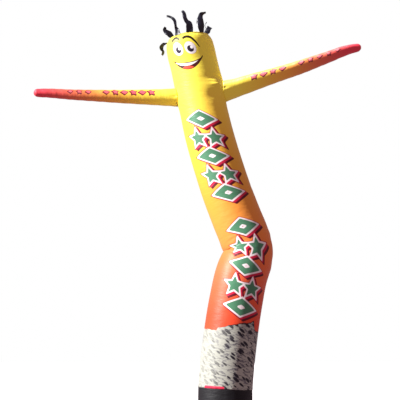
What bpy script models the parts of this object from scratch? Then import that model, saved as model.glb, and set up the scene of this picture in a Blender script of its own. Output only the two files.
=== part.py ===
"""Inflatable air dancer: a tall cloth tube held up by blown air, with two arms and ribbon hair.

Metres, +Z up. The origin is the centre of the collar's rim, on the ground. +X points right as
seen from the front, towards the raised arm, and +Y to the back.
Every cloth piece is a thin sheet in the shape that it has when it is blown up.
"""

import math

import bpy
import numpy as np

# Driving dimensions

CLOTH = 0.002           # thickness of every cloth sheet
GAP = 0.0003            # room left between two pieces that meet
HEM = 0.003             # cloth folded over at the collar's rim
HEM_HEIGHT = 0.028      # how tall that fold is
AROUND = 36             # corners round the body tube
ARM_AROUND = 16         # corners round an arm
CAP_RISE = 0.045        # height of the dome over the cap's seam band
CAP_BAND = 0.004        # upright band at the cap's seam
HOLE_EDGE = 0.0045      # how far inside an arm's outline the hole in the body is cut
ARM_TIP = 0.042         # length of an arm's rounded end
RIBBON_STEPS = 12       # pieces along a hair ribbon

# The body's line: height, place to the side, place to the back, diameter across
BODY = np.array((
    (0.000, 0.000, 0.000, 0.4640),
    (0.200, 0.003, 0.000, 0.4640),
    (0.383, 0.020, 0.000, 0.4630),
    (0.533, 0.038, 0.000, 0.4640),
    (0.941, 0.103, 0.000, 0.4640),
    (1.151, 0.150, 0.000, 0.4600),
    (1.256, 0.185, 0.000, 0.4560),
    (1.363, 0.209, 0.000, 0.4480),
    (1.471, 0.190, 0.000, 0.4470),
    (1.688, 0.111, 0.000, 0.4460),
    (1.909, 0.031, 0.000, 0.4470),
    (2.134, -0.039, 0.000, 0.4460),
    (2.478, -0.133, 0.000, 0.4450),
    (2.712, -0.182, 0.000, 0.4400),
    (2.951, -0.228, -0.008, 0.4480),
    (3.132, -0.267, -0.028, 0.4460),
    (3.270, -0.300, -0.053, 0.4470),
    (3.322, -0.310, -0.062, 0.4360),
    (3.354, -0.3145, -0.067, 0.4120),
    (3.372, -0.317, -0.070, 0.3840),
))
COLLAR_HEIGHT = BODY[1, 0]
SEAM_HEIGHT = BODY[-1, 0]
KNEE_HEIGHT = 1.363

# Soft folds of the tube: height, degrees round it (0 is +X, -90 the front), half height,
# half width in degrees, rise (below zero goes inwards), climb for each degree round it
FOLDS = np.array((
    (1.363, 180.0, 0.015, 46.0, -0.012, 0.0),       # crease in the hollow of the knee
    (1.355, 180.0, 0.075, 52.0, -0.018, 0.0),       # and the hollow round it
    (1.430, -112.0, 0.022, 34.0, -0.0045, 0.0012),  # pull that runs from it over the front
    (1.300, -118.0, 0.022, 30.0, -0.0040, -0.0010),
    (1.430, 112.0, 0.022, 34.0, -0.0045, -0.0012),  # and over the back
    (1.470, 0.0, 0.030, 40.0, 0.004, 0.0),          # the two soft corners outside the knee
    (1.275, 0.0, 0.030, 40.0, 0.004, 0.0),
    (2.885, 0.0, 0.090, 30.0, 0.015, 0.0),          # cloth drawn out to the arm at +X
    (2.825, 180.0, 0.080, 26.0, 0.008, 0.0),        # and to the arm at -X
    (2.850, -50.0, 0.048, 24.0, 0.015, 0.0),        # full chest between them
    (2.940, -38.0, 0.026, 28.0, -0.009, 0.0),       # dip over it, below the head
))

# Each arm's line: place to the side, place to the back, height, diameter across
ARM_LEFT = np.array((
    (-0.330, 0.000, 2.818, 0.182),
    (-0.420, 0.000, 2.818, 0.170),
    (-0.500, 0.000, 2.818, 0.160),
    (-0.800, 0.000, 2.822, 0.134),
    (-1.100, 0.000, 2.832, 0.114),
    (-1.400, 0.000, 2.844, 0.096),
    (-1.640, 0.000, 2.860, 0.084),
    (-1.722, 0.000, 2.861, 0.078),
))
ARM_RIGHT = np.array((
    (-0.080, 0.000, 2.845, 0.230),
    (-0.010, 0.000, 2.868, 0.205),
    (0.070, 0.000, 2.893, 0.184),
    (0.295, 0.000, 2.970, 0.160),
    (0.522, 0.000, 3.047, 0.138),
    (0.751, 0.000, 3.127, 0.127),
    (0.981, 0.000, 3.215, 0.109),
    (1.200, 0.000, 3.300, 0.090),
    (1.276, 0.000, 3.318, 0.078),
))

# Each hair ribbon: degrees round the cap's seam where it is sewn on, and then its stops.
# A stop is: to the side, to the back and up from where it is sewn on, width, twist in degrees
HAIR = {
    "hair_front_left": (-122.0, (
        (0.000, 0.000, 0.000, 0.060, 0), (-0.004, -0.006, 0.040, 0.048, 10),
        (-0.020, -0.010, 0.082, 0.024, 50), (-0.030, -0.012, 0.138, 0.026, 30),
        (-0.070, -0.006, 0.178, 0.024, 20), (-0.104, 0.004, 0.192, 0.018, 0))),
    "hair_front_middle": (-88.0, (
        (0.000, 0.000, 0.000, 0.070, 0), (0.000, -0.008, 0.046, 0.062, 6),
        (-0.006, -0.010, 0.084, 0.052, 12), (-0.040, -0.008, 0.130, 0.044, 16),
        (-0.048, 0.002, 0.176, 0.040, 8), (-0.066, 0.010, 0.225, 0.022, 0))),
    "hair_front_right": (-52.0, (
        (0.000, 0.000, 0.000, 0.046, 0), (-0.006, -0.010, 0.052, 0.058, -22),
        (-0.014, -0.014, 0.104, 0.072, -34), (-0.012, -0.010, 0.146, 0.048, -30),
        (-0.004, -0.002, 0.180, 0.036, -24), (0.040, 0.008, 0.202, 0.020, -10))),
    "hair_side_right": (-31.0, (
        (0.000, 0.000, 0.000, 0.016, 0), (-0.006, -0.006, 0.046, 0.017, 20),
        (-0.010, -0.008, 0.086, 0.016, 40), (0.000, -0.004, 0.112, 0.012, 20))),
    "hair_back_right": (33.0, (
        (0.000, 0.000, 0.000, 0.036, 0), (0.004, 0.004, 0.055, 0.046, 24),
        (0.022, 0.004, 0.100, 0.058, 46), (0.044, 0.000, 0.138, 0.052, 54))),
    "hair_behind_right": (74.0, (
        (0.000, 0.000, 0.000, 0.060, 0), (0.006, 0.040, 0.024, 0.054, 0),
        (0.014, 0.084, 0.000, 0.048, 12), (0.022, 0.100, -0.060, 0.044, 24),
        (0.036, 0.094, -0.130, 0.026, 10))),
    "hair_behind_left": (106.0, (
        (0.000, 0.000, 0.000, 0.060, 0), (-0.006, 0.036, 0.022, 0.054, 0),
        (-0.010, 0.078, -0.004, 0.050, -10), (-0.024, 0.096, -0.062, 0.044, -22),
        (-0.020, 0.100, -0.118, 0.028, -5))),
    "hair_back_left": (134.0, (
        (0.000, 0.000, 0.000, 0.050, 0), (-0.006, 0.002, 0.060, 0.052, -8),
        (-0.036, 0.000, 0.098, 0.060, -22), (-0.076, -0.004, 0.132, 0.056, -34),
        (-0.100, -0.010, 0.158, 0.036, -34), (-0.090, -0.014, 0.180, 0.026, -30))),
    "hair_side_left": (160.0, (
        (0.000, 0.000, 0.000, 0.046, 0), (-0.040, 0.010, 0.002, 0.052, 0),
        (-0.080, 0.012, -0.036, 0.060, 14), (-0.064, 0.010, -0.078, 0.034, 34),
        (-0.070, 0.010, -0.118, 0.028, 10))),
}
ROOT_DEPTH = 0.016      # how far a ribbon starts inside the head before its root is trimmed
RIBBON_REAR = 2         # the ring's side that is a ribbon's rear: it folds on its front's diagonals

# Colour, roughness and metallic value of each cloth
CLOTHS = {
    "collar_cloth": ((0.012, 0.012, 0.015, 1.0), 0.55, 0.0),
    "printed_cloth": ((0.95, 0.70, 0.07, 1.0), 0.50, 0.0),
    "arm_cloth": ((0.93, 0.32, 0.06, 1.0), 0.50, 0.0),
    "ribbon_cloth": ((0.010, 0.012, 0.030, 1.0), 0.40, 0.0),
}


def clear_scene():
    """Takes out whatever the file held."""
    for thing in list(bpy.data.objects):
        bpy.data.objects.remove(thing, do_unlink=True)


def cloth_material(name):
    """The Principled material of one kind of cloth."""
    material = bpy.data.materials.get(name)
    if material:
        return material
    colour, roughness, metallic = CLOTHS[name]
    material = bpy.data.materials.new(name)
    material.use_nodes = True
    shader = material.node_tree.nodes["Principled BSDF"]
    shader.inputs["Base Color"].default_value = colour
    shader.inputs["Roughness"].default_value = roughness
    shader.inputs["Metallic"].default_value = metallic
    material.diffuse_color = colour
    return material


def collection(name):
    """A collection of the scene, made if it isn't there."""
    found = bpy.data.collections.get(name)
    if found is None:
        found = bpy.data.collections.new(name)
        bpy.context.scene.collection.children.link(found)
    return found


def smooth(knots, values, at):
    """A cubic through rows of a table: every row's slope comes from its two neighbours."""
    slopes = np.gradient(values, knots, axis=0)
    i = np.clip(np.searchsorted(knots, at, side="right") - 1, 0, len(knots) - 2)
    span = (knots[i + 1] - knots[i])[:, None]
    u = (at[:, None] - knots[i][:, None]) / span
    a, b = values[i], values[i + 1]
    return (a * (1 + 2 * u) * (1 - u) ** 2 + b * u * u * (3 - 2 * u)
            + span * u * (1 - u) * (slopes[i] * (1 - u) - slopes[i + 1] * u))


def unit(vectors):
    """Vectors scaled to length one."""
    return vectors / np.linalg.norm(vectors, axis=-1, keepdims=True)


def section_heights(start, end, step=0.085):
    """Heights of the tube's sections: evenly spaced, closer together at the knee, chest and head."""
    plain = np.linspace(start, end, int(round((end - start) / step)) + 1)
    knee = KNEE_HEIGHT + np.array((-0.13, -0.09, -0.06, -0.036, -0.018, 0, 0.018, 0.036, 0.06,
                                   0.09, 0.13))
    plain = plain[(plain < knee[0] - 0.02) | (plain > knee[-1] + 0.02)]
    chest = np.array((2.755, 2.805, 2.850, 2.895, 2.940, 2.985))
    plain = plain[(plain < chest[0] - 0.03) | (plain > chest[-1] + 0.03)]
    head = np.array((3.240, 3.300, 3.336, 3.358, SEAM_HEIGHT))
    plain = plain[plain < head[0] - 0.03]
    return np.sort(np.concatenate([plain, knee, chest, head]))


def fold_rise(heights, degrees):
    """How far the folds push the cloth out at each height and angle (two grids)."""
    rise = np.zeros(np.broadcast(heights, degrees).shape)
    for height, middle, tall, wide, high, climb in FOLDS:
        round_by = (degrees - middle + 180) % 360 - 180
        off = heights - height - climb * round_by
        rise += high * np.exp(-(off / tall) ** 2 - (round_by / wide) ** 2)
    return rise


def body_frame(heights):
    """Centres, side, back and up directions, and diameters of the body's sections."""
    line = smooth(BODY[:, 0], BODY[:, 1:], heights)
    centres = np.column_stack([line[:, 0], line[:, 1], heights])
    step = 0.001
    ahead = smooth(BODY[:, 0], BODY[:, 1:3], np.minimum(heights + step, SEAM_HEIGHT))
    behind = smooth(BODY[:, 0], BODY[:, 1:3], np.maximum(heights - step, 0))
    rise = np.minimum(heights + step, SEAM_HEIGHT) - np.maximum(heights - step, 0)
    up = unit(np.column_stack([(ahead - behind) / rise[:, None], np.ones(len(heights))]))
    side = unit(np.cross((0.0, 1.0, 0.0), up))
    return centres, side, np.cross(up, side), up, line[:, 2]


def body_rings(heights, grow=0.0):
    """Rings of the body tube: a circle across its line at each height, with the folds added."""
    centres, side, back, _, across = body_frame(heights)
    angles = np.arange(AROUND) * 2 * math.pi / AROUND
    degrees = np.degrees(angles)[None, :]
    radius = across[:, None] / 2 + grow + fold_rise(heights[:, None], degrees)
    return (centres[:, None] + radius[..., None]
            * (np.cos(angles)[None, :, None] * side[:, None]
               + np.sin(angles)[None, :, None] * back[:, None]))


def cap_rings(grow=0.0, lift=GAP, steps=6):
    """Rings of the domed cap, from its seam inwards, and the point at its top.

    The dome is a parabola turned about the body's line: its radius falls as the cosine of one
    angle and its height grows as the square of the sine.
    """
    top = np.array((SEAM_HEIGHT,))
    centre, side, back, up, across = (part[0] for part in body_frame(top))
    seam = body_rings(top, grow)[0] - centre
    rise = np.radians(np.linspace(0, 90, steps + 1))
    foot = lift + CAP_BAND
    rings = [centre + up * (foot + (CAP_RISE + grow) * math.sin(a) ** 2) + seam * math.cos(a)
             for a in rise[:-1]]
    return np.array([centre + up * lift + seam] + rings), centre + up * (foot + CAP_RISE + grow)


def skin(name, rings, material, tip=None, foot=None, into="air dancer", crossed=()):
    """An object from rings of points: triangles between rings, and a fan at each point given.

    Every square is split the same way, so that two skins from the same rings stay level. The
    columns named in crossed are split the other way.
    """
    count, around = rings.shape[:2]
    points = list(rings.reshape(-1, 3))
    j = np.arange(around)
    k = (j + 1) % around
    other_way = np.isin(j, crossed)
    faces = []
    for start in range(0, (count - 1) * around, around):
        near, near_next = start + j, start + k
        far, far_next = near + around, near_next + around
        faces += list(zip(near, near_next, np.where(other_way, far, far_next)))
        faces += list(zip(np.where(other_way, near_next, near), far_next, far))
    if tip is not None:
        last = (count - 1) * around
        faces += [(int(last + a), int(last + b), len(points)) for a, b in zip(j, k)]
        points.append(tip)
    if foot is not None:
        faces += [(int(b), int(a), len(points)) for a, b in zip(j, k)]
        points.append(foot)
    mesh = bpy.data.meshes.new(name)
    mesh.from_pydata([tuple(map(float, p)) for p in points], [],
                     [tuple(map(int, face)) for face in faces])
    mesh.validate()
    mesh.shade_smooth()
    piece = bpy.data.objects.new(name, mesh)
    collection(into).objects.link(piece)
    if material:
        mesh.materials.append(cloth_material(material))
    return piece


def thicken(piece):
    """Gives an open skin the thickness of cloth, inwards."""
    wall = piece.modifiers.new("cloth", "SOLIDIFY")
    wall.thickness = CLOTH
    wall.offset = -1
    wall.use_even_offset = True
    wall.use_rim = True
    return piece


def cut(piece, cutter):
    """Takes a closed cutter's shape out of a piece."""
    cutter.hide_render = True
    cutter.display_type = "WIRE"
    trim = piece.modifiers.new("cut by " + cutter.name, "BOOLEAN")
    trim.operation = "DIFFERENCE"
    trim.solver = "EXACT"
    trim.object = cutter


def make_collar():
    """The sleeve that slips over the air outlet: flat on the ground, hemmed at its rim.

    Its rings turn from level at the ground to square with the body at its top edge.
    """
    _, side, back, up, across = (part[0] for part in body_frame(np.array((COLLAR_HEIGHT,))))
    top = np.array((BODY[1, 1], BODY[1, 2], COLLAR_HEIGHT)) - up * GAP
    outer = across / 2
    hem_share = HEM_HEIGHT / COLLAR_HEIGHT
    inner = outer - CLOTH
    profile = ((inner, 1.0), (outer, 1.0), (outer, 0.66), (outer, 0.33), (outer, hem_share),
               (outer, 0.0), (outer - HEM, 0.0), (outer - HEM, hem_share),
               (inner, hem_share + 0.012), (inner, 0.5), (inner, 1.0))
    angles = np.arange(AROUND) * 2 * math.pi / AROUND
    ground_side = np.array((1.0, 0.0, 0.0))
    rings = []
    for radius, share in profile[::-1]:
        along = unit(ground_side * (1 - share) + side * share)
        rings.append(top * share + radius * (np.cos(angles)[:, None] * along
                                             + np.sin(angles)[:, None] * back))
    piece = skin("collar", np.array(rings), "collar_cloth")
    weld = piece.modifiers.new("close the turn", "WELD")
    weld.merge_threshold = 0.00005
    return piece


def arm_rings(rows, grow=0.0, steps=15, tip=True):
    """Rings along an arm, square to its line, ending in a round tip."""
    length = np.concatenate([[0], np.cumsum(np.linalg.norm(np.diff(rows[:, :3], axis=0), axis=1))])
    at = np.linspace(0, length[-1], steps)
    line = smooth(length, rows, at)
    step = 0.001
    along = unit(smooth(length, rows[:, :3], np.minimum(at + step, length[-1]))
                 - smooth(length, rows[:, :3], np.maximum(at - step, 0)))
    centres, radius = line[:, :3], line[:, 3] / 2 + grow
    end = None
    if tip:
        turn = np.radians(np.array((30, 56, 76)))
        last, way = centres[-1], along[-1]
        centres = np.vstack([centres, last + np.sin(turn)[:, None] * ARM_TIP * way])
        radius = np.concatenate([radius, radius[-1] * np.cos(turn)])
        along = np.vstack([along, np.repeat(way[None], len(turn), axis=0)])
        end = last + ARM_TIP * way
    level = unit(np.cross((0.0, 0.0, 1.0), along))
    over = np.cross(along, level)
    angles = np.arange(ARM_AROUND) * 2 * math.pi / ARM_AROUND
    rings = centres[:, None] + radius[:, None, None] * (
        np.cos(angles)[None, :, None] * level[:, None] + np.sin(angles)[None, :, None] * over[:, None])
    return rings, end, centres[0]


def make_arm(name, rows, head_and_body, body):
    """One arm: a tapered closed sleeve, trimmed to the body, over a hole cut in the body."""
    rings, end, _ = arm_rings(rows)
    arm = thicken(skin(name, rings, "arm_cloth", tip=end))
    cut(arm, head_and_body)
    hole_rings, _, start = arm_rings(rows[:3], grow=-HOLE_EDGE, steps=4, tip=False)
    hole = skin(name + "_hole", hole_rings, None, tip=hole_rings[-1].mean(axis=0), foot=start,
                into="cutters")
    cut(body, hole)
    return arm


def make_ribbon(name, degrees, stops, head_and_body):
    """One hair ribbon: a flat strip carried along its stops, trimmed where it is sewn on."""
    top = np.array((SEAM_HEIGHT,))
    centre, side, back, up, across = (part[0] for part in body_frame(top))
    a = math.radians(degrees)
    outwards = side * math.cos(a) + back * math.sin(a)
    sewn = centre + outwards * across / 2
    table = np.array(stops)
    path = sewn + table[:, :3]
    inside = sewn - outwards * ROOT_DEPTH * 0.8 - up * ROOT_DEPTH * 0.6
    path = np.vstack([inside, path])
    widths = np.concatenate([table[:1, 3], table[:, 3]])
    twists = np.radians(np.concatenate([table[:1, 4], table[:, 4]]))
    length = np.concatenate([[0], np.cumsum(np.linalg.norm(np.diff(path, axis=0), axis=1))])
    at = np.linspace(0, length[-1], RIBBON_STEPS + 1)
    line = smooth(length, np.column_stack([path, widths, twists]), at)
    points, width, twist = line[:, :3], line[:, 3], line[:, 4]
    along = unit(np.gradient(points, axis=0))
    flat = np.cross(up, outwards)
    flat = unit(flat - along * (along @ flat)[:, None])
    face = np.cross(along, flat)
    across_way = flat * np.cos(twist)[:, None] + face * np.sin(twist)[:, None]
    face = np.cross(along, across_way)
    half = width[:, None] / 2 * across_way
    thick = CLOTH / 2 * face
    rings = np.stack([points - half - thick, points + half - thick, points + half + thick,
                      points - half + thick], axis=1)
    ribbon = skin(name, rings, "ribbon_cloth", crossed=(RIBBON_REAR,))
    close_ends(ribbon, len(rings))
    cut(ribbon, head_and_body)
    return ribbon


def close_ends(ribbon, count):
    """Adds the two end faces of a four-sided strip."""
    mesh = ribbon.data
    points = [tuple(v.co) for v in mesh.vertices]
    faces = [tuple(face.vertices) for face in mesh.polygons]
    last = (count - 1) * 4
    faces += [(3, 2, 1, 0), (last, last + 1, last + 2, last + 3)]
    material = mesh.materials[0]
    mesh.clear_geometry()
    mesh.from_pydata(points, [], faces)
    mesh.materials.clear()
    mesh.materials.append(material)


def build():
    """Makes every piece."""
    clear_scene()
    heights = section_heights(COLLAR_HEIGHT, SEAM_HEIGHT)
    body = thicken(skin("body_tube", body_rings(heights), "printed_cloth"))
    rings, point = cap_rings()
    thicken(skin("head_cap", rings, "printed_cloth", tip=point))
    make_collar()
    outer_cap, outer_point = cap_rings(grow=GAP, lift=GAP)
    outer = np.concatenate([body_rings(heights, grow=GAP), outer_cap])
    form = skin("head_and_body_form", outer, None, tip=outer_point,
                foot=outer[0].mean(axis=0), into="cutters")
    make_arm("arm_left", ARM_LEFT, form, body)
    make_arm("arm_right", ARM_RIGHT, form, body)
    for name, (degrees, stops) in HAIR.items():
        make_ribbon(name, degrees, stops, form)


build()
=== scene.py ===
# %% [markdown]
# # Dressing an inflatable air dancer
#
# An air dancer is a bag of thin nylon that a blower keeps full: a body tube, two closed sleeves for
# arms, a small dome for the top of the head, loose ribbons for hair, and a heavier black sleeve at
# the foot that slips over the blower. The solids of these pieces come from the frame. They have the
# true lines and sizes, but they are plain and coarse, so each of them is made again here as fine
# cloth, with its wrinkles, its rippled edges and its printed colours.

# %% Load the fixed frame
import math

import bpy
import numpy as np
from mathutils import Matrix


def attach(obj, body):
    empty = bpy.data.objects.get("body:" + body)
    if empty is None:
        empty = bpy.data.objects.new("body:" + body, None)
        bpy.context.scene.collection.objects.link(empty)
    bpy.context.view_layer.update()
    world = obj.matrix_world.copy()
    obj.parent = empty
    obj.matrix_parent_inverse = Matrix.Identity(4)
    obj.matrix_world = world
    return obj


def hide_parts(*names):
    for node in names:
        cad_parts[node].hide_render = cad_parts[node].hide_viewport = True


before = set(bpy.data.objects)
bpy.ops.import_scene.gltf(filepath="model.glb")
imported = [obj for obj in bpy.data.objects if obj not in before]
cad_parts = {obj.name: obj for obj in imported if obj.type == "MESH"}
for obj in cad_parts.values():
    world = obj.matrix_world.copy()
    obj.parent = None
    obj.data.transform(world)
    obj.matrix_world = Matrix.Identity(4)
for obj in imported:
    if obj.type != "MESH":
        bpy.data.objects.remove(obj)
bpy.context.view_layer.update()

# %% [markdown]
# ## The camera
#
# The photograph was taken from low down, about six metres away, looking up at the dancer. That is
# why the arms show their undersides and the head seems to lean away. The lens is a short telephoto.

# %% Camera
CAMERA_PLACE = (-0.211, -6.0, 0.45)     # metres: six metres in front, at knee height
CAMERA_TILT = 103.0                     # degrees: 90 would look level
CAMERA_LENS = 61.56                     # millimetres on a 36 mm sensor

camera_data = bpy.data.cameras.new("camera")
camera_data.lens = CAMERA_LENS
camera_data.sensor_width = 36.0
camera = bpy.data.objects.new("camera", camera_data)
camera.location = CAMERA_PLACE
camera.rotation_euler = (math.radians(CAMERA_TILT), 0.0, 0.0)
bpy.context.scene.collection.objects.link(camera)
bpy.context.scene.camera = camera
print("camera at", CAMERA_PLACE)

# %% [markdown]
# ## Lines and surfaces from short tables
#
# Everything here is a surface with two parameters: how far along a piece, and how far round it. A
# short table gives the line that a piece follows, and a cubic through its rows gives every point
# between. The same cubic shaped the solids, so the cloth lands exactly on them.

# %% Curves through a table
def smooth(knots, values, at):
    """A cubic through rows of a table: every row's slope comes from its two neighbours.

    Between two rows, with u going from 0 to 1, the value is the two rows' values and slopes
    weighted by the four cubic Hermite polynomials of u.
    """
    slopes = np.gradient(values, knots, axis=0)
    i = np.clip(np.searchsorted(knots, at, side="right") - 1, 0, len(knots) - 2)
    span = (knots[i + 1] - knots[i])[..., None]
    u = (at[..., None] - knots[i][..., None]) / span
    a, b = values[i], values[i + 1]
    return (a * (1 + 2 * u) * (1 - u) ** 2 + b * u * u * (3 - 2 * u)
            + span * u * (1 - u) * (slopes[i] * (1 - u) - slopes[i + 1] * u))


def unit(vectors):
    """Vectors scaled to length one."""
    return vectors / np.linalg.norm(vectors, axis=-1, keepdims=True)


def run_length(points):
    """How far along a line each of its points lies: the sum of the steps before it."""
    steps = np.linalg.norm(np.diff(points, axis=0), axis=1)
    return np.concatenate([[0.0], np.cumsum(steps)])


def bump_of(off, half):
    """A soft hump, one at its middle: e to the minus square of the offset over its half width."""
    return np.exp(-(off / half) ** 2)


# %% [markdown]
# ## A sheet of cloth as a closed shell
#
# Cloth is thin, but a surface with no thickness has no edge to show and no inside to shade. So the
# outer wall goes up row by row, turns over at the edge, and comes down again a millimetre further
# in, on fewer rows. Blender's Solidify modifier would do the same, at twice the faces.

# %% Shells from rows of points
CLOTH = 0.0012          # metres: thickness that a cloth wall is drawn with


def outward(rows):
    """Outward directions of a surface that is closed round: round-direction cross row-direction."""
    across = np.roll(rows, -1, axis=1) - np.roll(rows, 1, axis=1)
    return unit(np.cross(across, np.gradient(rows, axis=0)))


def cloth_shell(name, rows, chart, tip=None, every=4, wall=CLOTH):
    """A closed shell round rows of points, with the print's coordinates as its UV map.

    rows[i, j] is the outer wall. The inner wall is rows - wall * outward on every few rows, in
    the opposite order, and the last row joins the first. A tip closes the end with two fans.
    chart[i, j] holds the two print coordinates in metres, with one more column than rows has.
    """
    count, around = rows.shape[:2]
    kept = np.unique(np.append(np.arange(0, count, every), count - 1))[::-1]
    inner = rows[kept] - wall * outward(rows)[kept]
    points = np.concatenate([rows, inner]).reshape(-1, 3)
    charts = np.concatenate([chart, chart[kept]])
    first = np.arange(count + len(kept))
    second = np.roll(first, -1)
    if tip is not None:
        first, second = np.delete(first, count - 1), np.delete(second, count - 1)
    j = np.arange(around)
    k = (j + 1) % around
    faces = np.stack([first[:, None] * around + j, first[:, None] * around + k,
                      second[:, None] * around + k, second[:, None] * around + j], axis=-1)
    corners = np.stack([charts[first][:, :-1], charts[first][:, 1:],
                        charts[second][:, 1:], charts[second][:, :-1]], axis=2)
    faces, corners = faces.reshape(-1, 4).tolist(), corners.reshape(-1, 2)
    if tip is not None:
        outer_row, inner_row, end = (count - 1) * around, count * around, len(points)
        inward = unit(rows[-1].mean(axis=0) - tip) * wall
        points = np.concatenate([points, [tip, tip + inward]])
        faces += np.stack([outer_row + j, outer_row + k, np.full(around, end)], axis=1).tolist()
        faces += np.stack([inner_row + k, inner_row + j, np.full(around, end + 1)], axis=1).tolist()
        left, right = chart[-1, :-1], chart[-1, 1:]
        middle = (left + right) / 2
        corners = np.concatenate([corners, np.stack([left, right, middle], axis=1).reshape(-1, 2),
                                  np.stack([right, left, middle], axis=1).reshape(-1, 2)])
    return mesh_piece(name, points, faces, corners)


def mesh_piece(name, points, faces, corners=None):
    """An object at the origin with these points and faces, smooth, and a UV map if one is given."""
    mesh = bpy.data.meshes.new(name)
    mesh.from_pydata(np.asarray(points).tolist(), [], faces)
    if corners is not None:
        mesh.uv_layers.new(name="print").data.foreach_set("uv", corners.astype(np.float32).ravel())
    mesh.shade_smooth()
    mesh.update()
    piece = bpy.data.objects.new(name, mesh)
    bpy.context.scene.collection.objects.link(piece)
    return piece


def dress(piece, material, slot, *nodes):
    """Gives a piece its material, lets it ride on the dancer, and stands it for these nodes."""
    piece.data.materials.append(material)
    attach(piece, "root")
    if nodes:
        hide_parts(*nodes)
    triangles = sum(len(face.vertices) - 2 for face in piece.data.polygons)
    print(piece.name, "has", triangles, "triangles")


# %% [markdown]
# ## The body's line and its folds
#
# The tube stands on its collar, leans to one side, kinks at a knee and bends back again, as a full
# tube does when the wind of the blower falters for a moment. Each row of the first table is a
# height, the place of the tube's middle there, and its width. Each row of the second is one fold: a
# soft hump or trough that is added to the radius.

# %% Tables of the body
# Height, place to the side, place to the back, diameter across
BODY = np.array((
    (0.000, 0.000, 0.000, 0.4640), (0.200, 0.003, 0.000, 0.4640), (0.383, 0.020, 0.000, 0.4630),
    (0.533, 0.038, 0.000, 0.4640), (0.941, 0.103, 0.000, 0.4640), (1.151, 0.150, 0.000, 0.4600),
    (1.256, 0.185, 0.000, 0.4560), (1.363, 0.209, 0.000, 0.4480), (1.471, 0.190, 0.000, 0.4470),
    (1.688, 0.111, 0.000, 0.4460), (1.909, 0.031, 0.000, 0.4470), (2.134, -0.039, 0.000, 0.4460),
    (2.478, -0.133, 0.000, 0.4450), (2.712, -0.182, 0.000, 0.4400), (2.951, -0.228, -0.008, 0.4480),
    (3.132, -0.267, -0.028, 0.4460), (3.270, -0.300, -0.053, 0.4470), (3.322, -0.310, -0.062, 0.4360),
    (3.354, -0.3145, -0.067, 0.4120), (3.372, -0.317, -0.070, 0.3840),
))
COLLAR_HEIGHT = BODY[1, 0]
SEAM_HEIGHT = BODY[-1, 0]
RADIUS = BODY[1, 3] / 2
GAP = 0.0003            # metres between two pieces that meet

# Height, degrees round (0 is +X, -90 the front), half height, half width in degrees, rise,
# climb for each degree round
FOLDS = (
    (1.363, 180.0, 0.015, 46.0, -0.012, 0.0), (1.355, 180.0, 0.075, 52.0, -0.018, 0.0),
    (1.430, -112.0, 0.022, 34.0, -0.0045, 0.0012), (1.300, -118.0, 0.022, 30.0, -0.0040, -0.0010),
    (1.430, 112.0, 0.022, 34.0, -0.0045, -0.0012), (1.470, 0.0, 0.030, 40.0, 0.004, 0.0),
    (1.275, 0.0, 0.030, 40.0, 0.004, 0.0), (2.885, 0.0, 0.090, 30.0, 0.015, 0.0),
    (2.825, 180.0, 0.080, 26.0, 0.008, 0.0), (2.850, -50.0, 0.048, 24.0, 0.015, 0.0),
    (2.940, -38.0, 0.026, 28.0, -0.009, 0.0),
)

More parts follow.
